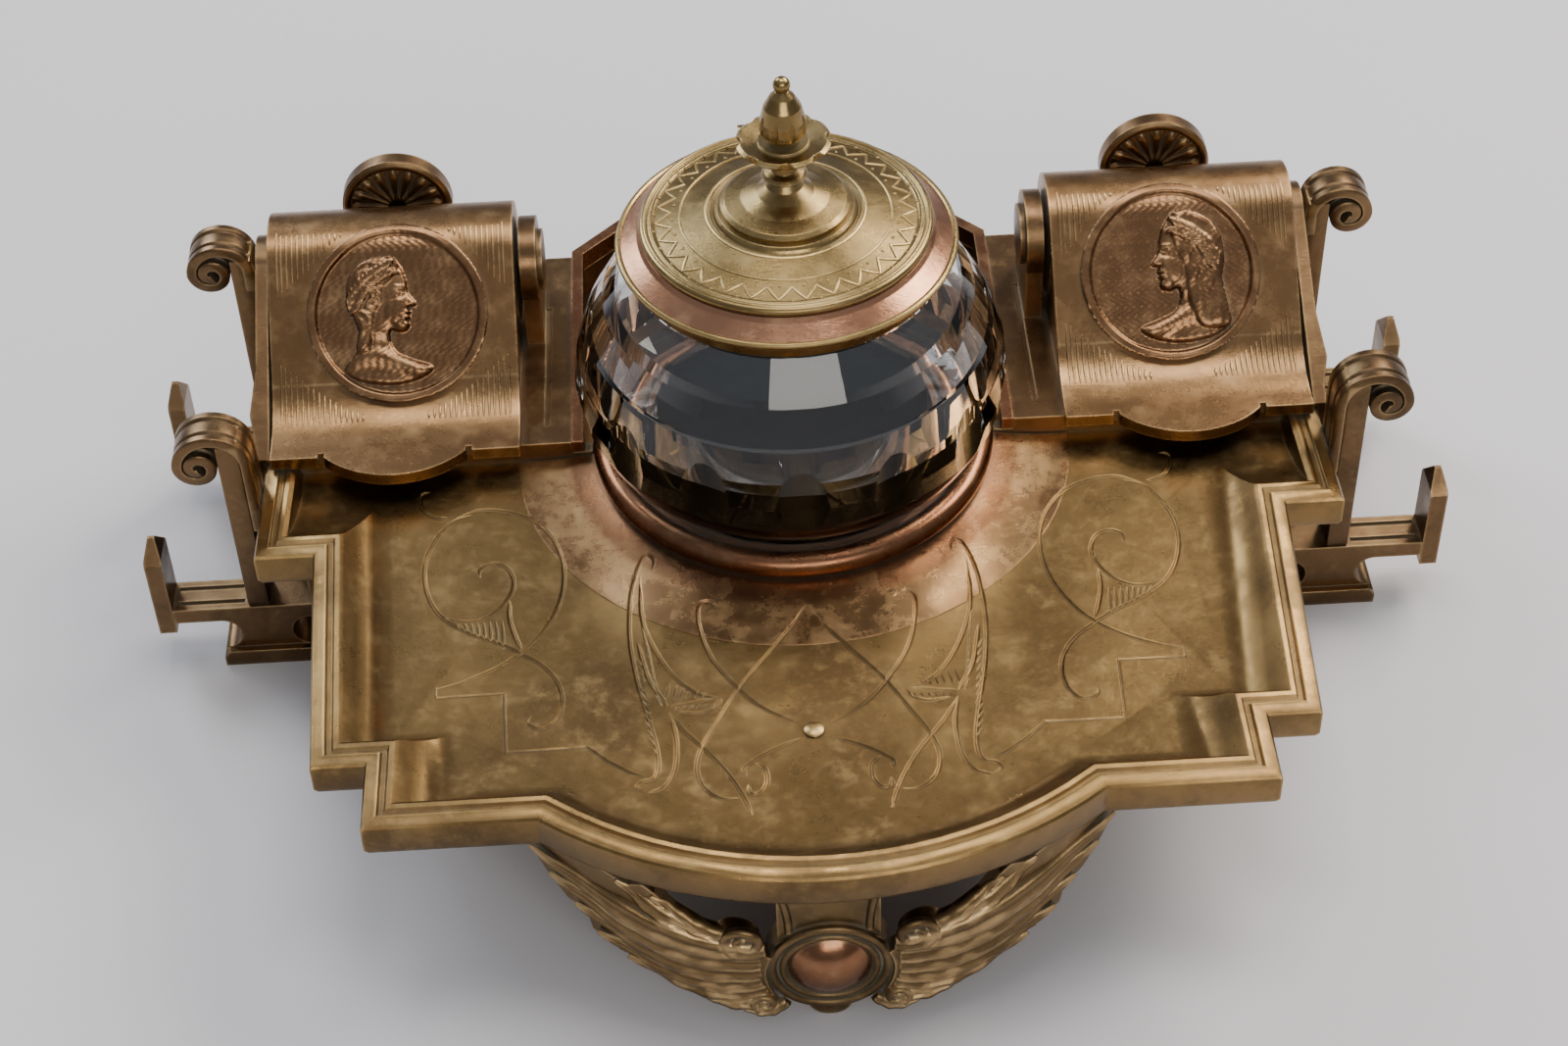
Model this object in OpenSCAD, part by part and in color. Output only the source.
// Desk inkstand: a cast tray and case with two lidded stores, a hinged glass well and pen rests.
// Built about the axis of the glass well (x 0, y 0) with the table at z 0, then moved so that the
// origin is the bottom centre of the whole.

/* [Case] */
// Width of the case and of the ears of the tray (mm)
case_w = 240; // [238:0.5:242]
// Depth of the case from its front face to its back (mm)
case_d = 67.5; // [67:0.5:72]
// Height of the case from its underside to its deck (mm)
case_h = 31; // [28:0.5:36]
// Thickness of the walls and of the deck (mm)
wall = 3; // [2:0.25:4]
// Thickness of the plate that closes the underside (mm)
base_t = 3; // [2:0.5:4]
// Half width of the eight-sided opening round the well, over its frame (mm)
bay_half = 50.5; // [49.5:0.5:54]
// Half width of the back face of the bay (mm)
bay_back_half = 37.5; // [34:0.5:42]
// How far the bay stands out behind the case (mm)
bay_out = 13; // [10:0.5:16]
// Width of the frame round the opening (mm)
frame_w = 2.7; // [2:0.1:3.5]
// How far the frame stands above the deck at its back (mm)
frame_h = 1.8; // [0.8:0.1:3]
// Distance from the opening to the line cut in the deck (mm)
deck_line_in = 5; // [4:0.5:6]
// Distance from the front of the deck to the end of that line (mm)
deck_line_end = 6; // [4:0.5:8]
// Width of that line (mm)
deck_line_w = 1.2; // [0.8:0.1:1.6]
// Depth of the seat that holds the frame (mm)
frame_seat = 3; // [2:0.25:4]

/* [Stores and lids] */
// Distance from the middle of the stand to the inner edge of a lid (mm)
lid_x = 62; // [61.5:0.25:63]
// Distance from the side of the case to the outer edge of a lid (mm)
lid_margin = 1.5; // [1.5:0.25:4]
// Thickness of a lid (mm)
lid_t = 3; // [2.5:0.25:4]
// How far the front edge of a lid stands out past the case (mm)
lid_over = 3.8; // [3:0.1:5]
// Radius of the hollow sweep at the front of a lid (mm)
sweep_r = 22; // [18:0.5:26]
// Slope of the flat part of a lid (degrees)
lid_slope = 42; // [40:0.5:44]
// Length of the flat part of a lid (mm)
slope_len = 28.8; // [27:0.2:30]
// Outer radius of the barrel at the back of a lid (mm)
barrel_r = 14; // [13:0.25:14.5]
// Wall of the barrel (mm)
barrel_wall = 2.5; // [2:0.25:4]
// Width of the thumb lip (mm)
lip_w = 32; // [26:0.5:38]
// How far the thumb lip stands out past the edge of the lid (mm)
lip_out = 7; // [5:0.5:9]
// Width and depth of the notch at each end of the lip (mm)
notch = 1.4; // [1:0.1:2]
// Gap between a lid and the fixed walls that stand under it (mm)
lid_gap = 0.5; // [0.3:0.05:0.8]

/* [Medallions] */
// Radius of a medallion (mm)
medal_r = 20.7; // [18:0.1:22]
// Distance of its centre along the slope of the lid (mm)
medal_along = 15.2; // [14:0.1:17]
// How far its centre lies from the middle of the lid towards the glass (mm)
medal_off = 1.25; // [0:0.25:3]
// Height of its field above the lid (mm)
field_h = 0.9; // [0.6:0.1:1.2]
// Height of its raised edge above the lid (mm)
medal_rim_h = 1.8; // [1.3:0.1:2]
// Width of its raised edge (mm)
medal_rim_w = 1.9; // [1.2:0.1:2.5]

/* [Lid hinges] */
// Diameter of a hinge pin (mm)
pin_d = 4.4; // [3.5:0.1:5]
// Running clearance of a pin in its bore, on the radius (mm)
pin_fit = 0.05; // [0.03:0.01:0.08]
// Radius of the outer hinge boss (mm)
boss_r = 9; // [8:0.25:10]
// Radius of the inner hinge boss (mm)
inner_boss_r = 10.3; // [9:0.1:11]
// Thickness of a hinge post or cheek (mm)
cheek_t = 3; // [2.5:0.1:3.4]
// How far the foot of a cheek spreads past its face (mm)
cheek_spread = 3; // [2:0.25:4]

/* [Crests] */
// Radius of the fan of a crest (mm)
crest_r = 13; // [11:0.25:14]
// Thickness of a crest (mm)
crest_t = 3.5; // [3:0.1:4]
// Gap between a lid barrel and a crest (mm)
crest_gap = 2.5; // [2.3:0.1:3]
// Number of petals in the fan
petals = 9; // [5:2:13]

/* [Tray] */
// How far the floor of the tray lies below the deck (mm)
floor_drop = 5; // [4.8:0.1:6]
// Thickness of the floor (mm)
floor_t = 2.5; // [2:0.25:3.5]
// Height of the rim above the floor (mm)
rim_h = 6.5; // [5.5:0.25:8]
// Distance from the case to the front of the ears (mm)
ear_d = 33.5; // [30:0.5:36]
// Half width of the tray just in front of the ears (mm)
side_half = 107; // [104:0.5:109]
// How much each side draws in towards the front (mm)
side_taper = 3.5; // [2:0.25:5]
// Distance from the case to the step in the sides (mm)
step_d = 95.5; // [90:0.5:99]
// Half width of the tray in front of the step (mm)
step_half = 92.3; // [90:0.5:95]
// Distance from the case to the straight part of the front (mm)
front_d = 112.5; // [108:0.5:116]
// Half width of the bowed part of the front (mm)
bow_half = 57; // [50:0.5:62]
// Distance from the case to the foremost point of the bow (mm)
bow_d = 132; // [128:0.5:136]
// Width of the rim along the outer side of an ear (mm)
ear_rim_w = 8; // [7.2:0.2:9]
// Distance from the case to the hollow of an ear (mm)
ear_floor_d = 7; // [5:0.5:10]
// Half width of the floor just in front of the case (mm)
floor_back_half = 92; // [89:0.5:94]
// Half width of the floor at the step (mm)
floor_side_half = 87; // [85:0.5:89]
// Distance from the case to the step in the floor (mm)
floor_step_d = 82; // [78:0.5:85]
// Half width of the floor in front of the step (mm)
floor_step_half = 74; // [70:0.5:78]
// Distance from the case to the straight front of the floor (mm)
floor_front_d = 98.5; // [95:0.5:101]
// Half width of the bowed part of the floor (mm)
floor_bow_half = 52; // [46:0.5:56]
// Distance from the case to the foremost point of the floor (mm)
floor_bow_d = 117.5; // [114:0.5:120]

/* [Well stand and ring] */
// Radius to the middle of the ring round the glass (mm)
ring_mid_r = 42.6; // [42:0.1:43.5]
// Radius of the round section of the ring (mm)
ring_tube_r = 3; // [2.5:0.1:3.2]
// Radius of the hole in the ring (mm)
ring_hole_r = 38; // [37.6:0.1:38.6]
// Radius at which the bell of the stand meets the floor (mm)
bell_r = 63; // [56:0.5:66]
// Thickness of the stand under the glass (mm)
stand_t = 3.4; // [2.8:0.1:3.6]

/* [Glass] */
// Largest radius of the glass (mm)
glass_r = 48.1; // [47:0.1:49]
// Radius of the foot of the glass (mm)
glass_foot_r = 35.5; // [33:0.25:36]
// Height of the glass from its foot to its shoulder (mm)
glass_h = 52.3; // [48:0.1:56]
// Radius of the neck (mm)
neck_r = 29.3; // [27:0.1:30]
// Height of the neck (mm)
neck_h = 4; // [3.5:0.1:4]
// Radius of the mouth (mm)
mouth_r = 24; // [20:0.25:25]
// Thickness of the bottom of the glass (mm)
glass_base_t = 9; // [7:0.5:12]
// Wall of the glass at its widest (mm)
glass_wall = 9; // [8:0.25:11]
// Number of flutes cut round the glass
flutes = 14; // [10:1:18]
// Depth of a flute (mm)
flute_d = 1.6; // [1:0.1:2.2]

/* [Collar and cover] */
// Outer radius of the collar on the neck (mm)
collar_r = 34; // [33:0.1:34.5]
// Height of the collar (mm)
collar_h = 4.1; // [3.8:0.1:5]
// Gap between the collar and the cover (mm)
cover_gap = 0.3; // [0.3:0.05:0.6]
// Radius of the flared edge of the cover (mm)
flare_r = 36.5; // [35.5:0.1:37]
// Height of the flared band (mm)
flare_h = 4.3; // [4:0.1:6]
// Thickness of the flared band (mm)
flare_t = 1.3; // [1:0.1:1.8]
// Radius of the cover plate (mm)
plate_r = 31.2; // [30.6:0.1:31.6]
// Rise of the cover plate towards its middle (mm)
plate_rise = 5.2; // [4.5:0.1:6]
// Radius of the raised middle of the cover plate (mm)
hub_r = 15.2; // [14.5:0.1:16]
// Distance from the axis of the well to the hinge of the cover (mm)
cover_hinge_y = 38.9; // [38.8:0.1:39.5]
// Radius of the knuckles of the cover hinge (mm)
knuckle_r = 1.9; // [1.6:0.05:1.9]
// Width of the cover hinge (mm)
knuckle_w = 18; // [14:0.5:22]
// Diameter of the pin of the cover hinge (mm)
cover_pin_d = 1.6; // [1.2:0.1:1.8]

/* [Finial] */
// Radius of the foot of the finial (mm)
finial_r = 14; // [12:0.25:14.4]
// Height of the foot and neck of the finial (mm)
stem_h = 11.9; // [10:0.1:14]
// Radius of the leaves of the calyx (mm)
calyx_r = 10.1; // [8.5:0.1:11.5]
// Height of the calyx (mm)
calyx_h = 5; // [4:0.1:6]
// Number of leaves and of ribs on the bud
leaves = 8; // [6:1:10]
// Radius of the bud (mm)
bud_r = 4.8; // [4.2:0.1:5.5]
// Height of the bud (mm)
bud_h = 12.4; // [10:0.1:14]
// Radius of the ball on top (mm)
ball_r = 1.85; // [1.5:0.05:2.2]

/* [Brackets and pen rests] */
// Distance of the front brackets in front of the case (mm)
front_bracket_y = 11.5; // [11:0.25:13]
// Distance of the rear brackets behind the front of the case (mm)
rear_bracket_y = 42; // [40:0.5:46]
// Width of an arm and of its scroll, front to back (mm)
arm_w = 9.5; // [8:0.25:10]
// Thickness of an arm (mm)
arm_t = 4; // [3.5:0.25:5]
// How far an arm reaches in under the case (mm)
arm_tuck = 14.5; // [13:0.25:16]
// How far an arm reaches out past the side of the case (mm)
arm_reach = 25; // [22:0.25:28]
// Distance from the outer end of an arm to the outer edge of its foot (mm)
foot_back = 10; // [8:0.5:13]
// Depth of a foot, front to back (mm)
foot_d = 13; // [11:0.25:14]
// Height of a foot (mm)
foot_h = 4.3; // [3.5:0.1:5.5]
// Height of the neck between a foot and its arm (mm)
bracket_neck_h = 8.7; // [8:0.1:10]
// Width of the post that carries the tray (mm)
post_w = 7; // [6:0.25:8]
// Thickness of a pen stop (mm)
stop_t = 4; // [3:0.25:5]
// Height of a pen stop above the arm (mm)
stop_h = 19.5; // [16:0.5:24]
// Depth of the lug of a pen stop below the arm (mm)
stop_lug = 3; // [2:0.25:4]
// Thickness of the stem of a scroll (mm)
stem_t = 5; // [4:0.25:6]
// Radius of the volute of a scroll (mm)
volute_r = 5.6; // [4.8:0.1:6]
// How far a volute stands out past the side of the case (mm)
volute_reach = 17.6; // [16.5:0.1:19]
// Height of the volute of a front scroll above the arm (mm)
front_volute_h = 43.5; // [40:0.5:46]
// Height of the volute of a rear scroll above the arm (mm)
rear_volute_h = 55; // [53:0.5:57]
// Thickness of the ribbon of a scroll (mm)
ribbon_t = 2.5; // [2:0.1:3]
// Length of the tail of the ribbon below the volute of a front scroll (mm)
tail_len = 20; // [16:0.5:24]
// Length of the short tail of a rear ribbon (mm)
rear_tail_len = 5; // [4:0.5:8]
// Gap between the ribbon and the side of the case (mm)
ribbon_gap = 0.1; // [0.05:0.05:0.3]

/* [Front foot] */
// How far the front of the foot stands back from the front of the rim (mm)
cartouche_back = 4.4; // [4:0.1:6]
// How far the leaves stand back from the edge of the bow (mm)
leaf_in = 1.6; // [1.2:0.1:3]
// How far the leaves reach to each side (mm)
leaf_half = 60; // [56:0.5:64]
// Radius of the curl beside the medallion of the foot (mm)
curl_r = 4.6; // [4:0.2:5.5]
// Thickness of the leaves (mm)
leaf_t = 3.6; // [3:0.2:4.5]
// Radius of the medallion of the foot (mm)
cartouche_r = 13; // [12:0.25:14]
// Height of its centre above the table (mm)
cartouche_z = 16.5; // [15:0.25:18]
// Radius of the round boss set in it (mm)
boss_stone_r = 8.7; // [8:0.1:9.5]
// Height of the round boss (mm)
boss_stone_h = 4.2; // [3.5:0.1:5]
// Half width of the strap up to the tray (mm)
strap_half = 10.5; // [8:0.25:12]

/* [Fasteners] */
// Diameter of a screw (mm)
screw_d = 3; // [2.5:0.1:3.5]
// Diameter of a screw head (mm)
screw_head_d = 5.4; // [4.8:0.1:6]
// Height of a screw head (mm)
screw_head_h = 1.8; // [1.4:0.1:2.2]
// Clearance of a screw in its hole, on the radius (mm)
screw_fit = 0.05; // [0.03:0.01:0.1]

/* [Hidden] */
$fn = 64;
big = 400;
eps = 0.01;
bow_steps = 10;

// Reach of the brackets from the middle of the stand
arm_in = case_w / 2 - arm_tuck;
arm_out = case_w / 2 + arm_reach;
foot_out = arm_out - foot_back;
volute_out = case_w / 2 + volute_reach;
ear_floor_half = case_w / 2 - ear_rim_w;

// Levels above the table
arm_under = foot_h + bracket_neck_h;
arm_top = arm_under + arm_t;
case_z = arm_top;
base_top = case_z + base_t;
deck_z = case_z + case_h;
floor_z = deck_z - floor_drop;
tray_under = floor_z - floor_t;
rim_z = floor_z + rim_h;
lid_top = deck_z + lid_t;

// Side section of a lid: sweep centre, ends of the slope and hinge axis, as [y, z]
sweep_c = [0, lid_top + sweep_r];
slope_dir = [cos(lid_slope), sin(lid_slope)];
slope_out = [-sin(lid_slope), cos(lid_slope)];
slope_0 = sweep_c - sweep_r * slope_out;
slope_1 = slope_0 + slope_len * slope_dir;
hinge = slope_1 - barrel_r * slope_out;
lid_w = case_w / 2 - lid_margin - lid_x;
lid_mid_x = lid_x + lid_w / 2;
lid_end_x = lid_x + lid_w;
cheek_x = lid_end_x + lid_gap;
cheek_out = cheek_x + cheek_t;
post_x = lid_x - 1;
inner_post_t = 4;
medal_x = lid_mid_x - medal_off;
medal_c = slope_0 + medal_along * slope_dir;
pin_r = pin_d / 2;
bore_r = pin_r + pin_fit;

// Round the well
stand_top = floor_z + stand_t;
ring_seat = floor_z + 1.3;
ring_z = ring_seat + ring_tube_r;
ring_out = ring_mid_r + ring_tube_r;
ring_room = 0.3;
bay_back = case_d + bay_out;
opening_half = bay_half - frame_w;
glass_z = stand_top;
shoulder_z = glass_z + glass_h;
mouth_z = shoulder_z + neck_h;
collar_top = shoulder_z + collar_h;
cover_z = collar_top + cover_gap;
plate_z = cover_z + flare_h;
hub_z = plate_z + plate_rise;
stem_top = hub_z + stem_h;
calyx_top = stem_top + calyx_h;
bud_top = calyx_top + bud_h;
cover_hinge_z = cover_z + 0.3;
cover_pin_r = cover_pin_d / 2;

// Crests, screws and front foot
crest_y = hinge[0] + barrel_r + crest_gap;
crest_z = hinge[1] + 5;
crest_foot = 2.2;
screw_r = screw_d / 2;
hole_r = screw_r + screw_fit;
screw_in = 6;
crest_screw_x = 9;
bow_r = (bow_half * bow_half + pow(bow_d - front_d, 2)) / (2 * (bow_d - front_d));
bow_c = bow_r - bow_d;
leaf_r = bow_r - leaf_in;
leaf_zero = 4.5;
cartouche_front = bow_d - cartouche_back;
cartouche_t = 6;

// The whole is moved back so that the origin lies under its middle.
home_y = (bow_d - bay_back) / 2;
module at_home() {
    translate([0, home_y, 0]) children();
}

// Pushes a flat [y, z] section along X from x0 for a length w.
module along_x(x0, w) {
    translate([x0, 0, 0]) rotate([90, 0, 90]) linear_extrude(w) children();
}

// Pushes a flat [x, z] section along Y from y0 to y0 + w.
module along_y(y0, w) {
    translate([0, y0 + w, 0]) rotate([90, 0, 0]) linear_extrude(w) children();
}

// Turns a list of [r, z] points about the axis of the well.
module turned(points) {
    rotate_extrude() polygon(points);
}

module left_of(side) {
    mirror([side < 0 ? 1 : 0, 0, 0]) children();
}

// ---- Tray ---------------------------------------------------------------------------------

// Points along a bow from its end at [half, -d0] to its crown at [0, -d1].
function bow_points(half, d0, d1) =
    let (s = d1 - d0, r = (half * half + s * s) / (2 * s), a = asin(half / r))
    [for (i = [0 : bow_steps]) let (t = a * (1 - i / bow_steps))
        [r * sin(t), -d1 + r - r * cos(t)]];

// Right half of the outer edge and of the edge of the floor, point for point.
edge_half = concat(
    [[case_w / 2, 0], [case_w / 2, -ear_floor_d], [case_w / 2, -ear_d], [side_half, -ear_d],
     [side_half - side_taper, -step_d], [step_half, -step_d], [step_half, -front_d]],
    bow_points(bow_half, front_d, bow_d));
floor_half = concat(
    [[ear_floor_half, 0], [ear_floor_half, -ear_floor_d + 0.5], [ear_floor_half, -ear_floor_d],
     [floor_back_half, -ear_floor_d], [floor_side_half, -floor_step_d],
     [floor_step_half, -floor_step_d], [floor_step_half, -floor_front_d]],
    bow_points(floor_bow_half, floor_front_d, floor_bow_d));
half_n = len(edge_half);

function mirrored(half) =
    concat(half, [for (i = [half_n - 2 : -1 : 0]) [-half[i][0], half[i][1]]]);
function unit(v) = v / norm(v);
function inward(a, b) = let (d = unit(b - a)) [d[1], -d[0]];

// Moves an open chain of points inwards by d, with mitred corners and ends that stay at y 0.
function inset(p, d) = [for (i = [0 : len(p) - 1])
    let (last = len(p) - 1,
         n0 = i == 0 ? inward(p[0], p[1]) : inward(p[i - 1], p[i]),
         n1 = i == last ? n0 : inward(p[i], p[i + 1]),
         m = i == 0 ? n1 : n0)
    p[i] + d * (m + n1) / (1 + m * n1)];
function blend(a, b, t) = [for (i = [0 : len(a) - 1]) a[i] * (1 - t) + b[i] * t];

tray_edge = mirrored(edge_half);
floor_edge = mirrored(floor_half);
chain_n = len(tray_edge);

// The rim lies lower beside the lids, so that they close over it.
low_rim = (deck_z - lid_gap - floor_z) / rim_h;
function rim_k(i) = (i < 2 || i > chain_n - 3) ? low_rim : 1;
function at_z(p, h) = [for (i = [0 : chain_n - 1])
    [p[i][0], p[i][1], floor_z + (h > 0 ? h * rim_k(i) : h)]];

// Rim moulding as [inset, height above the floor], then the hollow down to the floor.
rim_profile = [[2.2, -floor_t], [0.7, -floor_t + 0.5], [0, -floor_t + 2], [0, rim_h - 0.9],
    [0.5, rim_h - 0.3], [2.4, rim_h - 0.3], [3.0, rim_h], [3.5, rim_h - 0.9], [4.4, rim_h - 0.9],
    [4.9, rim_h - 0.2], [5.9, rim_h], [6.9, rim_h - 0.7]];
cove_start = rim_profile[len(rim_profile) - 1];
cove_steps = 5;
tray_chains = concat(
    [for (q = rim_profile) at_z(inset(tray_edge, q[0]), q[1])],
    [for (k = [1 : cove_steps]) let (t = k / cove_steps)
        at_z(blend(inset(tray_edge, cove_start[0]), floor_edge, t), cove_start[1] * pow(1 - t, 2))]);
levels = len(tray_chains);

// A fan of triangles from the point numbered c over the open run of point numbers v.
function fan(c, v) = [for (i = [0 : len(v) - 2]) [c, v[i + 1], v[i]]];

module tray() {
    n = levels * chain_n;
    top_row = (levels - 1) * chain_n;
    rim_x = case_w / 2 - cove_start[0] / 2;
    pts = concat([for (c = tray_chains) for (p = c) p],
        [[0, -ear_floor_d * 0.7, tray_under], [0, -ear_floor_d * 0.7, floor_z],
         [rim_x, 0, floor_z - floor_t / 2], [-rim_x, 0, floor_z - floor_t / 2]]);
    strips = [for (k = [0 : levels - 2]) for (i = [0 : chain_n - 2])
        let (a = k * chain_n + i, b = a + chain_n)
        each [[a, b + 1, b], [a, a + 1, b + 1]]];
    under = fan(n, concat([for (i = [0 : chain_n - 1]) i], [0]));
    top = fan(n + 1, concat([for (i = [chain_n - 1 : -1 : 0]) top_row + i], [top_row + chain_n - 1]));
    back_right = fan(n + 2, [for (k = [levels - 1 : -1 : 0]) k * chain_n]);
    back_left = fan(n + 3, [for (k = [0 : levels - 1]) k * chain_n + chain_n - 1]);
    back = [[n + 2, chain_n - 1, 0], [n + 2, n + 3, chain_n - 1],
        [n + 2, top_row + chain_n - 1, n + 3], [n + 2, top_row, top_row + chain_n - 1]];
    color("darkgoldenrod") at_home() difference() {
        polyhedron(pts, concat(strips, under, top, back_right, back_left, back));
        for (s = [-1, 1])
            translate([s * (arm_in + post_w / 2), -front_bracket_y, tray_under - eps])
                cylinder(r = hole_r, h = dowel_up + eps);
    }
}

// ---- Well stand, ring and frame --------------------------------------------------------------

bell_steps = 8;
bell_top_r = ring_mid_r + 1.7;
bell_top_z = ring_seat + 0.5;
function bell_z(t) = floor_z + 0.15 + (bell_top_z - floor_z - 0.15) * pow(1 - t, 2.2);

module well_stand() {
    bell = [for (i = [0 : bell_steps]) let (t = i / bell_steps)
        [bell_top_r + (bell_r - bell_top_r) * t, bell_z(t)]];
    color("peru") at_home() union() {
        turned([[0, floor_z], [ring_mid_r + 1.6, floor_z], [ring_mid_r + 1.6, ring_seat],
            [ring_hole_r - 0.5, ring_seat], [ring_hole_r - 0.5, stand_top], [0, stand_top]]);
        intersection() {
            turned(concat([[ring_mid_r, floor_z]], [[ring_mid_r, ring_seat]],
                [[bell_top_r, ring_seat]], bell, [[bell_r, floor_z]]));
            translate([-big / 2, -big, 0]) cube([big, big - ring_room, big]);
        }
    }
}

module collar_ring() {
    color("sienna") at_home() rotate_extrude() union() {
        translate([ring_mid_r, ring_z]) circle(ring_tube_r);
        translate([ring_hole_r, ring_seat]) square([ring_mid_r - ring_hole_r + 1.4, ring_tube_r]);
        translate([ring_hole_r, ring_seat]) square([1.8, ring_tube_r + 1.2]);
    }
}

// Plan of the bay for a half width h; its slanting sides stay parallel.
module bay_plan(h) {
    inset_by = bay_half - h;
    corner = inset_by * tan(22.5);
    polygon([[-h, -eps], [h, -eps], [h, case_d - corner], [bay_back_half - corner, bay_back - inset_by],
        [-bay_back_half + corner, bay_back - inset_by], [-h, case_d - corner]]);
}

module frame_rise() {
    along_x(-big / 2, big) polygon([[-1, deck_z - frame_seat], [big, deck_z - frame_seat],
        [big, deck_z + frame_h], [case_d / 2, deck_z + frame_h], [-1, deck_z + 0.1]]);
}

module well_frame() {
    color("maroon") at_home() intersection() {
        linear_extrude(big) difference() {
            intersection() {
                bay_plan(bay_half);
                translate([-big / 2, 0]) square([big, big]);
            }
            bay_plan(opening_half);
        }
        frame_rise();
    }
}

// ---- Case ------------------------------------------------------------------------------------

module case_plan() {
    translate([-case_w / 2, 0]) square([case_w, case_d]);
    intersection() {
        bay_plan(bay_half);
        translate([-big / 2, 0]) square([big, big]);
    }
}

store_in = lid_x + lid_gap + wall;
store_out = case_w / 2 - wall;
store_lip = 2.5;
store_front = wall;
store_back = hinge[0] - 1.5;

// What the lid keeps free under itself, with a gap of g.
module lid_room(g) {
    translate(sweep_c) circle(sweep_r + lid_t + g);
    translate(slope_0 - lid_t * slope_out) rotate(lid_slope) translate([-eps, -g])
        square([slope_len, big]);
    translate(hinge) circle(barrel_r + g);
    translate([hinge[0], hinge[1]]) square([big, big]);
}

module side_wall() {
    along_x(lid_x + lid_gap, wall) difference() {
        translate([0, deck_z - eps]) square([hinge[0] - barrel_r / 2, hinge[1] - deck_z]);
        lid_room(lid_gap);
        translate([-eps, deck_z]) mirror([1, 0]) square([big, big]);
    }
}

base_screw_at = [[store_in - 8, 12], [store_in - 8, case_d - 12],
    [case_w / 2 - wall - 4, case_d - wall - 4]];
base_screw_boss = 4.5;

module screw_bosses() {
    for (p = base_screw_at) translate([p[0], p[1], base_top])
        cylinder(r = base_screw_boss, h = screw_in + 3);
}

module case_side() {
    side_wall();
    intersection() {
        screw_bosses();
        translate([0, 0, base_top]) cube([case_w / 2, case_d, case_h]);
    }
}

module case_body() {
    color("saddlebrown") at_home() difference() {
        union() {
            difference() {
                translate([0, 0, base_top]) linear_extrude(deck_z - base_top) case_plan();
                for (s = [-1, 1]) left_of(s) {
                    translate([store_in, wall, base_top - eps])
                        cube([store_out - store_in, case_d - 2 * wall, deck_z - base_top - wall]);
                    translate([store_in, wall + 1, deck_z - wall - 2 * eps])
                        cube([store_out - store_lip - store_in, store_back - wall - 1, big]);
                    translate([bay_half + wall, wall, base_top - eps])
                        cube([lid_x - bay_half - 2 * wall + lid_gap, case_d - 2 * wall,
                            deck_z - base_top - wall]);
                }
                translate([0, 0, base_top - eps]) linear_extrude(big) intersection() {
                    bay_plan(opening_half);
                    translate([-big / 2, wall]) square([big, big]);
                }
                translate([0, 0, deck_z - frame_seat]) linear_extrude(big) bay_plan(bay_half);
            }
            intersection() {
                translate([0, 0, base_top]) difference() {
                    cylinder(r = ring_mid_r + 1.6, h = floor_z - base_top);
                    translate([0, 0, -eps]) cylinder(r = ring_mid_r - 5, h = big);
                }
                translate([-big / 2, 0, 0]) cube([big, big, big]);
            }
            for (s = [-1, 1]) left_of(s) case_side();
        }
        translate([0, 0, floor_z]) cylinder(r = ring_out + ring_room, h = big);
        for (s = [-1, 1]) left_of(s) {
            for (p = base_screw_at) translate([p[0], p[1], base_top - eps])
                cylinder(r = hole_r, h = screw_in + eps);
            for (k = [-1, 1])
                translate([lid_mid_x + k * crest_screw_x, crest_y + crest_t / 2, base_top - eps]) {
                    cylinder(r = hole_r, h = big);
                    cylinder(r = screw_head_d / 2 + screw_fit, h = deck_z - wall - base_top + eps);
                }
            translate([bay_half + deck_line_in, deck_line_end, deck_z - 0.5])
                cube([deck_line_w, case_d - bay_out - 2 * deck_line_end, 1]);
        }
    }
}

module case_base() {
    color("dimgray") at_home() difference() {
        translate([0, 0, case_z]) linear_extrude(base_t) case_plan();
        for (s = [-1, 1]) left_of(s) {
            for (p = base_screw_at) translate([p[0], p[1], case_z - eps]) {
                cylinder(r = hole_r, h = big);
                cylinder(r = screw_head_d / 2 + screw_fit, h = screw_head_h + eps);
            }
            translate([bracket_screw_x, rear_bracket_y, case_z - eps])
                cylinder(r = hole_r, h = base_t + 2 * eps);
        }
    }
}

module base_screws() {
    color("silver") at_home() for (s = [-1, 1]) left_of(s)
        for (p = base_screw_at) translate([p[0], p[1], case_z]) {
            cylinder(r = screw_head_d / 2, h = screw_head_h);
            cylinder(r = screw_r, h = base_t + screw_in - 0.5);
        }
}

// ---- Lids, medallions, hinges and crests -------------------------------------------------------

module sweep_wedge() {
    polygon([sweep_c, sweep_c + [0, -big], sweep_c - big * slope_out]);
}

module lid_section() {
    translate([-lid_over, deck_z]) square([lid_over, lid_t]);
    intersection() {
        translate(sweep_c) difference() {
            circle(sweep_r + lid_t);
            circle(sweep_r);
        }
        sweep_wedge();
    }
    translate(slope_0) rotate(lid_slope) translate([0, -lid_t]) square([slope_len, lid_t]);
    translate(hinge) circle(barrel_r);
}

module lip_plan() {
    r = (lip_w * lip_w / 4 + lip_out * lip_out) / (2 * lip_out);
    difference() {
        translate([lid_mid_x, -lid_over - lip_out + r]) circle(r);
        translate([0, -lid_over + eps]) square([big, big]);
    }
}

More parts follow.
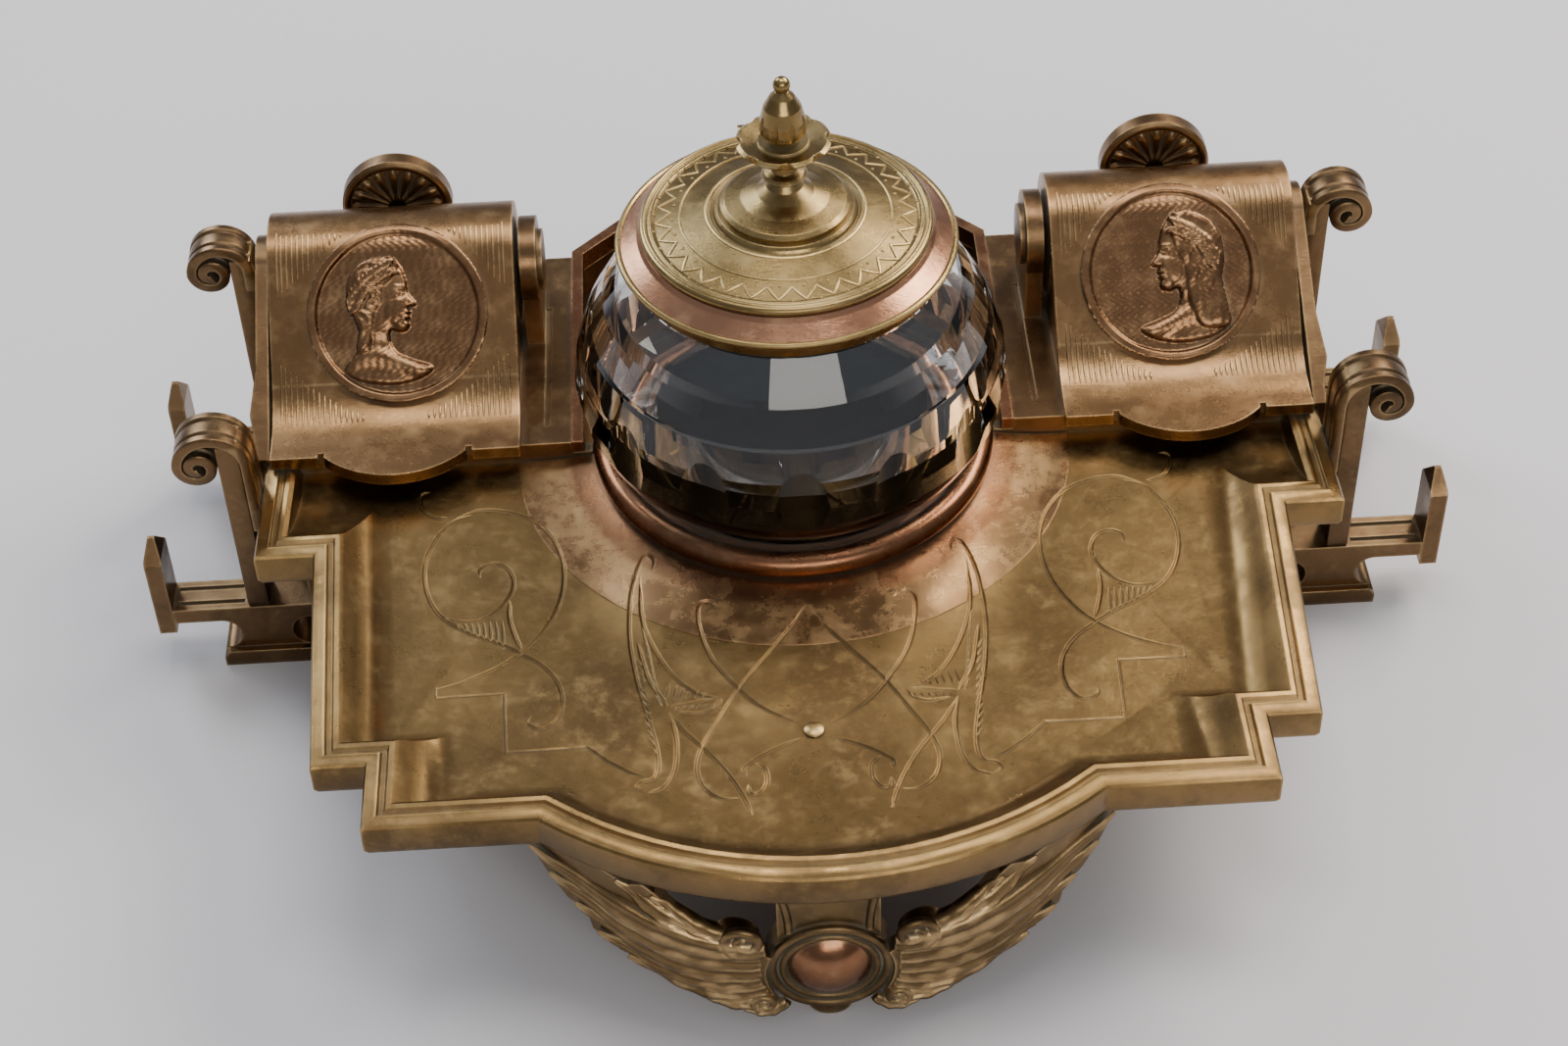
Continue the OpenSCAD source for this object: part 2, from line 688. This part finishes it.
module lid() {
    color("chocolate") at_home() difference() {
        union() {
            along_x(lid_x, lid_w) lid_section();
            translate([0, 0, deck_z]) linear_extrude(lid_t) lip_plan();
        }
        translate([0, hinge[0], hinge[1]]) rotate([0, 90, 0]) {
            translate([0, 0, lid_x - eps]) cylinder(r = bore_r, h = lid_w + 2 * eps);
            translate([0, 0, lid_x + lid_t])
                cylinder(r = barrel_r - barrel_wall, h = lid_w - 2 * lid_t);
        }
        for (k = [-1, 1])
            translate([lid_mid_x + k * (lip_w / 2 + notch / 2) - notch / 2, -lid_over - eps, deck_z - eps])
                cube([notch, notch, big]);
    }
}

// The skin of height h that lies on the outer face of a lid.
module lid_skin(h) {
    intersection() {
        translate(sweep_c) difference() {
            circle(sweep_r);
            circle(sweep_r - h);
        }
        sweep_wedge();
    }
    translate(slope_0) rotate(lid_slope) square([slope_len, h]);
    intersection() {
        translate(hinge) difference() {
            circle(barrel_r + h);
            circle(barrel_r);
        }
        polygon([hinge, hinge + big * slope_out, hinge + [0, big], hinge + [big / 4, big]]);
    }
}

module medal_bar(r) {
    translate([medal_x, medal_c[0], medal_c[1]]) rotate([lid_slope, 0, 0])
        translate([0, 0, -medal_r]) cylinder(r = r, h = 3 * medal_r);
}

module medallion() {
    color("goldenrod") at_home() intersection() {
        union() {
            along_x(lid_x, lid_w) lid_skin(field_h);
            difference() {
                along_x(lid_x, lid_w) lid_skin(medal_rim_h);
                medal_bar(medal_r - medal_rim_w);
            }
        }
        medal_bar(medal_r);
    }
}

module hinge_pin() {
    color("silver") at_home() translate([post_x - inner_post_t + 0.6, hinge[0], hinge[1]])
        rotate([0, 90, 0]) cylinder(r = pin_r, h = cheek_out - post_x + inner_post_t - 0.6);
}

module cheek_side() {
    difference() {
        union() {
            polygon([[-1.5, deck_z - 6], [-1.5, deck_z + 1], [hinge[0] - boss_r * 0.6,
                hinge[1] + boss_r * 0.8], [hinge[0] + boss_r * 0.9, hinge[1]],
                [hinge[0] + boss_r * 0.6, deck_z - 6]]);
            translate(hinge) circle(boss_r);
        }
        translate(hinge) circle(bore_r);
    }
}

cheek_rear_stop = rear_bracket_y - arm_w / 2 - 2;

module cheek() {
    color("rosybrown") at_home() difference() {
        union() {
            along_x(cheek_x, cheek_t) cheek_side();
            intersection() {
                along_x(cheek_x, cheek_t + cheek_spread) cheek_side();
                along_y(-5, big) polygon([[cheek_x, deck_z + 14], [cheek_out, deck_z + 12],
                    [cheek_out + cheek_spread, deck_z], [cheek_out + cheek_spread, deck_z - 2],
                    [cheek_out, deck_z - 6], [cheek_x, deck_z - 6]]);
                linear_extrude(big) polygon([[cheek_x, -1.5], [cheek_out - 1, -1.5],
                    [cheek_out + cheek_spread, 15], [cheek_out + cheek_spread, 25],
                    [cheek_out, cheek_rear_stop], [cheek_x, cheek_rear_stop]]);
            }
        }
        translate([0, -big / 2, deck_z - big]) cube([case_w / 2, big, big]);
    }
}

module hinge_post() {
    color("darkkhaki") at_home() difference() {
        union() {
            along_x(post_x - inner_post_t, inner_post_t) {
                translate(hinge) circle(inner_boss_r);
                polygon([[hinge[0] - inner_boss_r, deck_z], [hinge[0] + inner_boss_r, deck_z],
                    [hinge[0] + inner_boss_r * 0.85, hinge[1]], [hinge[0] - inner_boss_r * 0.85, hinge[1]]]);
            }
            translate([post_x - inner_post_t - 1.2, hinge[0], hinge[1]]) rotate([0, 90, 0])
                cylinder(r = inner_boss_r * 0.7, h = 2);
        }
        translate([post_x - inner_post_t + 0.4, hinge[0], hinge[1]]) rotate([0, 90, 0])
            cylinder(r = bore_r, h = inner_post_t);
    }
}

module crest_plan() {
    difference() {
        union() {
            translate([lid_mid_x, crest_z]) circle(crest_r);
            translate([lid_mid_x - crest_r * 0.8, deck_z]) square([crest_r * 1.6, crest_z - deck_z]);
        }
        for (k = [-1, 1]) translate([lid_mid_x + k * crest_r * 1.15, crest_z - crest_r * 0.75])
            circle(crest_r * 0.55);
    }
}

module crest() {
    color("khaki") at_home() difference() {
        union() {
            along_y(crest_y, crest_t) crest_plan();
            translate([lid_mid_x - crest_r, crest_y, deck_z])
                cube([2 * crest_r, crest_t, crest_foot]);
        }
        for (i = [1 : petals - 1]) translate([lid_mid_x, crest_y, crest_z])
            rotate([0, -180 * i / petals, 0]) translate([3, -eps, -0.35])
                cube([crest_r - 5, 0.7, 0.7]);
        along_y(crest_y - eps, 0.7) translate([lid_mid_x, crest_z]) intersection() {
            difference() {
                circle(crest_r - 1.2);
                circle(crest_r - 1.8);
            }
            translate([-big / 2, 0]) square([big, big]);
        }
        for (k = [-1, 1])
            translate([lid_mid_x + k * crest_screw_x, crest_y + crest_t / 2, deck_z - eps])
                cylinder(r = hole_r, h = crest_screw_len - wall + 0.5);
    }
}
crest_screw_len = 9;

module crest_screws() {
    color("silver") at_home() for (s = [-1, 1]) left_of(s) for (k = [-1, 1])
        translate([lid_mid_x + k * crest_screw_x, crest_y + crest_t / 2, deck_z - wall]) {
            translate([0, 0, -screw_head_h]) cylinder(r = screw_head_d / 2, h = screw_head_h);
            cylinder(r = screw_r, h = crest_screw_len);
        }
}

// ---- Brackets, scrolls and pen stops -------------------------------------------------------------

dowel_up = 1.5;
dowel_down = 6;
neck_in = arm_in + post_w + 1.5;
bracket_screw_x = arm_in + 4;

module bracket_profile() {
    difference() {
        union() {
            polygon([[arm_in, 0], [foot_out, 0], [foot_out, foot_h * 0.6], [foot_out - 1.4, foot_h],
                [arm_in, foot_h]]);
            translate([neck_in, foot_h - eps])
                square([foot_out - neck_in - 0.5, bracket_neck_h + 2 * eps]);
            translate([arm_in, arm_under]) square([arm_out - arm_in, arm_t]);
        }
        translate([foot_out - 0.5, foot_h + bracket_neck_h / 2]) circle(bracket_neck_h / 2);
        translate([neck_in, foot_h + bracket_neck_h / 2]) circle(bracket_neck_h / 2);
    }
}

module bracket(y, post) {
    groove = 1.2;
    color("tan") at_home() difference() {
        union() {
            intersection() {
                along_y(y - foot_d / 2, foot_d) bracket_profile();
                union() {
                    translate([0, y - foot_d / 2, 0]) cube([big, foot_d, foot_h]);
                    translate([0, y - arm_w / 2, 0]) cube([big, arm_w, big]);
                }
            }
            if (post)
                along_y(y - foot_d / 2 - 1, foot_d)
                    polygon([[arm_in + 0.5, 0], [arm_in + post_w - 0.5, 0],
                        [arm_in + post_w, tray_under], [arm_in, tray_under]]);
        }
        for (k = [-1, 1])
            translate([volute_out - 2 * volute_r + 2, y + k * arm_w / 4 - groove / 2, arm_top - 0.7])
                cube([arm_out - volute_out + 2 * volute_r - 3, groove, 1]);
        if (post)
            translate([arm_in + post_w / 2, y, tray_under - dowel_down])
                cylinder(r = hole_r, h = big);
        if (!post)
            translate([bracket_screw_x, y, arm_under - eps])
                cylinder(r = hole_r, h = big);
    }
}

module tray_dowels() {
    color("silver") at_home() for (s = [-1, 1])
        translate([s * (arm_in + post_w / 2), -front_bracket_y, tray_under - dowel_down])
            cylinder(r = screw_r, h = dowel_down + dowel_up - 0.1);
}

module bracket_screws() {
    color("silver") at_home() for (s = [-1, 1])
        translate([s * bracket_screw_x, rear_bracket_y, arm_under]) {
            cylinder(r = screw_r, h = arm_t + base_t - 0.2);
            translate([0, 0, -screw_head_h]) cylinder(r = screw_head_d / 2, h = screw_head_h);
        }
}

module scroll_profile(in, vz, tail) {
    mid = (in + volute_out) / 2;
    r = (volute_out - in) / 2;
    translate([volute_out - volute_r, vz]) circle(volute_r);
    intersection() {
        translate([mid, vz]) difference() {
            circle(r);
            circle(r - ribbon_t);
        }
        translate([-big, vz - eps]) square([2 * big, big]);
    }
    polygon([[in, vz], [in, vz - tail], [in + ribbon_t, vz - tail + ribbon_t * 1.4],
        [in + ribbon_t, vz]]);
    intersection() {
        translate([stem_x, arm_top]) square([stem_t, vz - arm_top + r]);
        union() {
            translate([mid, vz]) circle(r - ribbon_t / 2);
            translate([0, arm_top]) square([big, vz - arm_top]);
        }
    }
}

module scroll(y, in, vz, tail) {
    r = (volute_out - in) / 2;
    color("burlywood") at_home() difference() {
        along_y(y - arm_w / 2, arm_w) scroll_profile(in, vz, tail);
        for (k = [-1, 1]) translate([(in + volute_out) / 2, y + k * arm_w / 4 + 0.5, vz])
            rotate([90, 0, 0]) linear_extrude(1) intersection() {
                difference() {
                    circle(r + 1);
                    circle(r - 0.6);
                }
                translate([-big / 2, 1]) square([big, big]);
            }
    }
}

front_ribbon_in = case_w / 2 + ribbon_gap;
stem_x = front_ribbon_in + ribbon_t - eps;
rear_ribbon_in = cheek_out + ribbon_gap;

module scroll_front() {
    scroll(-front_bracket_y, front_ribbon_in, arm_top + front_volute_h, tail_len);
}

module scroll_rear() {
    scroll(rear_bracket_y, rear_ribbon_in, arm_top + rear_volute_h, rear_tail_len);
}

module pen_stop(y) {
    color("wheat") at_home() intersection() {
        along_y(y - arm_w / 2, arm_w)
            polygon([[arm_out, arm_under - stop_lug], [arm_out + stop_t, arm_under - stop_lug],
                [arm_out + stop_t, arm_top + stop_h - 4], [arm_out + stop_t * 0.7, arm_top + stop_h],
                [arm_out + stop_t * 0.3, arm_top + stop_h], [arm_out, arm_top + stop_h - 4]]);
        along_x(arm_out, stop_t) polygon([[y - arm_w / 2, 0], [y + arm_w / 2, 0],
            [y + arm_w / 2, arm_top + stop_h - 5], [y, arm_top + stop_h + 0.5],
            [y - arm_w / 2, arm_top + stop_h - 5]]);
    }
}

// ---- Front foot --------------------------------------------------------------------------------

// Outline of the leaves as shares of their reach and of their height.
leaf_shape = [[0.195, 0.17], [0.36, 0.245], [0.52, 0.31], [0.6, 0.345], [0.715, 0.38],
    [0.73, 0.43], [0.8, 0.47], [0.815, 0.59], [0.88, 0.64], [0.94, 0.765], [1, 0.925], [0.99, 1],
    [0.77, 1], [0.665, 0.94], [0.615, 0.97], [0.575, 0.925], [0.51, 0.8], [0.415, 0.705],
    [0.35, 0.68], [0.195, 0.54]];

module leaf_plan() {
    difference() {
        union() {
            polygon([for (q = leaf_shape) [q[0] * leaf_half, q[1] * tray_under]]);
            translate([cartouche_r + curl_r * 1.2, cartouche_z + cartouche_r * 0.7]) circle(curl_r);
        }
        translate([0, cartouche_z]) circle(cartouche_r + 0.1);
        translate([cartouche_r + curl_r * 0.9, cartouche_z + cartouche_r * 0.66]) circle(curl_r * 0.3);
    }
}

module bow_shell(r0, r1) {
    translate([0, bow_c, 0]) difference() {
        cylinder(r = r1, h = tray_under, $fn = 128);
        translate([0, 0, -eps]) cylinder(r = r0, h = big, $fn = 128);
    }
}

module acanthus() {
    color("darkseagreen") at_home() intersection() {
        along_y(-big / 2, big / 2) leaf_plan();
        bow_shell(leaf_r - leaf_t, leaf_r);
    }
}

module cartouche() {
    color("brown") at_home() union() {
        along_y(-cartouche_front, cartouche_t) translate([0, cartouche_z]) circle(cartouche_r);
        along_y(-cartouche_front + 0.6, 4) translate([-strap_half, cartouche_z])
            square([2 * strap_half, tray_under - cartouche_z]);
        along_y(-cartouche_front, 4.6) difference() {
            translate([0, leaf_zero]) circle(leaf_zero);
            translate([-big / 2, -big]) square([big, big]);
        }
    }
}

module foot_boss() {
    r = (boss_stone_r * boss_stone_r + boss_stone_h * boss_stone_h) / (2 * boss_stone_h);
    color("indianred") at_home() intersection() {
        translate([0, -cartouche_front - boss_stone_h + r, cartouche_z]) sphere(r);
        translate([-big / 2, -cartouche_front - big, 0]) cube([big, big, big]);
    }
}

// ---- Glass well and its cover ---------------------------------------------------------------------

function glass_at(k) = glass_z + glass_h * k;

module glass_well() {
    color("lightcyan") at_home() difference() {
        turned([[0, glass_z], [glass_foot_r, glass_z], [glass_foot_r + 1.3, glass_at(0.045)],
            [glass_foot_r + 5, glass_at(0.12)], [glass_r - 3.5, glass_at(0.2)],
            [glass_r - 0.9, glass_at(0.31)], [glass_r, glass_at(0.42)],
            [glass_r - 0.8, glass_at(0.55)], [glass_r - 3.3, glass_at(0.7)],
            [glass_r - 7.5, glass_at(0.84)], [collar_r, shoulder_z], [neck_r, shoulder_z],
            [neck_r, mouth_z], [mouth_r, mouth_z], [mouth_r, shoulder_z],
            [glass_r - glass_wall - 5, glass_at(0.78)], [glass_r - glass_wall - 0.5, glass_at(0.6)],
            [glass_r - glass_wall - 0.5, glass_at(0.4)], [glass_r - glass_wall - 8, glass_at(0.24)],
            [0, glass_z + glass_base_t]]);
        for (i = [0 : flutes - 1]) rotate([0, 0, 360 * (i + 0.5) / flutes])
            translate([glass_r - flute_d + flute_r, 0, glass_at(0.05)])
                cylinder(r = flute_r, h = glass_h * 0.87);
    }
}
flute_r = 15;

module knuckle(w) {
    translate([0, cover_hinge_y, cover_hinge_z]) rotate([0, 90, 0]) cylinder(r = knuckle_r, h = w);
}

knuckle_mid = knuckle_w * 0.44;
knuckle_gap = 0.2;

module cover_pin_bore() {
    translate([-knuckle_w, cover_hinge_y, cover_hinge_z]) rotate([0, 90, 0])
        cylinder(r = cover_pin_r + pin_fit, h = 2 * knuckle_w);
}

module neck_collar() {
    lug_w = (knuckle_w - knuckle_mid) / 2 - knuckle_gap;
    color("darkolivegreen") at_home() difference() {
        union() {
            turned([[neck_r + 0.1, shoulder_z], [collar_r - 0.5, shoulder_z],
                [collar_r, shoulder_z + 0.5], [collar_r, collar_top - 0.8],
                [collar_r - 0.8, collar_top], [neck_r + 0.1, collar_top]]);
            for (s = [-1, 1]) left_of(s) translate([knuckle_mid / 2 + knuckle_gap, 0, 0]) {
                knuckle(lug_w);
                translate([0, collar_r - 2.5, collar_top - 2.8])
                    cube([lug_w, cover_hinge_y - collar_r + 2.5, 2.4]);
            }
        }
        cover_pin_bore();
    }
}

module cover() {
    color("rosybrown") at_home() difference() {
        union() {
            turned([[flare_r - flare_t, cover_z], [flare_r, cover_z], [flare_r, cover_z + 0.7],
                [flare_r - 2, cover_z + 0.45 * flare_h], [plate_r + 0.9, cover_z + 0.8 * flare_h],
                [plate_r, plate_z], [plate_r - 2.8, plate_z],
                [plate_r - 2.8, plate_z - flare_t], [plate_r - 0.6, plate_z - flare_t],
                [flare_r - 2 - flare_t, cover_z + 0.3 * flare_h]]);
            translate([-knuckle_mid / 2, 0, 0]) knuckle(knuckle_mid);
            translate([-knuckle_mid / 2, flare_r - 1.5, cover_z])
                cube([knuckle_mid, cover_hinge_y - flare_r + 1.5, knuckle_r]);
        }
        cover_pin_bore();
    }
}

module cover_hinge_pin() {
    color("silver") at_home() translate([-knuckle_w / 2, cover_hinge_y, cover_hinge_z])
        rotate([0, 90, 0]) cylinder(r = cover_pin_r, h = knuckle_w);
}

module cover_plate() {
    bead_r = 1.1;
    color("olive") at_home() rotate_extrude() union() {
        polygon([[0, plate_z + 2.6], [hub_r - 2, plate_z + 2.6], [plate_r - 3.2, plate_z],
            [plate_r - 0.5, plate_z], [plate_r - 0.5, plate_z + 1.2], [plate_r - 3, plate_z + 1.7],
            [hub_r + 1, hub_z - 0.7], [hub_r + 0.5, hub_z - 1.2], [hub_r, hub_z - 0.5],
            [hub_r - 0.6, hub_z], [0, hub_z]]);
        translate([plate_r - 0.7, plate_z + bead_r]) circle(bead_r);
        translate([plate_r - 2.4, plate_z + bead_r + 0.4]) circle(0.7);
    }
}

module finial_stem() {
    color("gold") at_home() turned([[0, hub_z], [finial_r, hub_z], [finial_r, hub_z + 1.2],
        [finial_r - 1, hub_z + 1.9], [finial_r - 4.5, hub_z + 2.7], [6.2, hub_z + 4],
        [4, hub_z + 5.6], [2.8, stem_top - 4.5], [4.2, stem_top - 4.2], [4.9, stem_top - 3.5],
        [4.2, stem_top - 2.8], [2.8, stem_top - 2.3], [2.6, stem_top], [0, stem_top]]);
}

module finial_calyx() {
    color("yellowgreen") at_home() difference() {
        turned([[0, stem_top], [3.2, stem_top], [5, stem_top + 1.7], [calyx_r - 1.5, stem_top + 3.5],
            [calyx_r, calyx_top - 0.1], [calyx_r - 0.9, calyx_top + 0.5], [5.4, calyx_top - 0.4],
            [5.4, calyx_top], [0, calyx_top]]);
        for (i = [0 : leaves - 1]) rotate([0, 0, 360 * i / leaves])
            translate([calyx_r + 0.9, 0, stem_top]) cylinder(r = 2.1, h = big);
    }
}

module finial_bud() {
    color("orange") at_home() union() {
        difference() {
            turned([[0, calyx_top], [3.4, calyx_top], [bud_r, calyx_top + 0.2 * bud_h],
                [bud_r, calyx_top + 0.45 * bud_h], [bud_r - 0.8, calyx_top + 0.7 * bud_h],
                [bud_r - 2.2, calyx_top + 0.9 * bud_h], [1.4, bud_top], [0, bud_top]]);
            for (i = [0 : leaves - 1]) rotate([0, 0, 360 * (i + 0.5) / leaves])
                translate([bud_r + 0.5, 0, calyx_top]) cylinder(r = 0.9, h = big);
        }
        translate([0, 0, bud_top + ball_r - 0.4]) sphere(ball_r, $fn = 32);
    }
}

tray();
well_stand();
collar_ring();
case_body();
well_frame();
case_base();
left_of(-1) lid();  // lid_left
lid();  // lid_right
left_of(-1) medallion();  // medallion_left
medallion();  // medallion_right
left_of(-1) crest();  // crest_left
crest();  // crest_right
left_of(-1) hinge_pin();  // hinge_pin_left
hinge_pin();  // hinge_pin_right
left_of(-1) cheek();  // cheek_left
cheek();  // cheek_right
left_of(-1) hinge_post();  // hinge_post_left
hinge_post();  // hinge_post_right
left_of(-1) bracket(-front_bracket_y, true);  // bracket_front_left
bracket(-front_bracket_y, true);  // bracket_front_right
left_of(-1) bracket(rear_bracket_y, false);  // bracket_rear_left
bracket(rear_bracket_y, false);  // bracket_rear_right
left_of(-1) scroll_front();  // scroll_front_left
scroll_front();  // scroll_front_right
left_of(-1) scroll_rear();  // scroll_rear_left
scroll_rear();  // scroll_rear_right
left_of(-1) pen_stop(-front_bracket_y);  // pen_stop_front_left
pen_stop(-front_bracket_y);  // pen_stop_front_right
left_of(-1) pen_stop(rear_bracket_y);  // pen_stop_rear_left
pen_stop(rear_bracket_y);  // pen_stop_rear_right
cartouche();
foot_boss();
left_of(-1) acanthus();  // acanthus_left
acanthus();  // acanthus_right
glass_well();
neck_collar();
cover();
cover_plate();
finial_stem();
finial_calyx();
finial_bud();
cover_hinge_pin();
base_screws();
crest_screws();
bracket_screws();
tray_dowels();
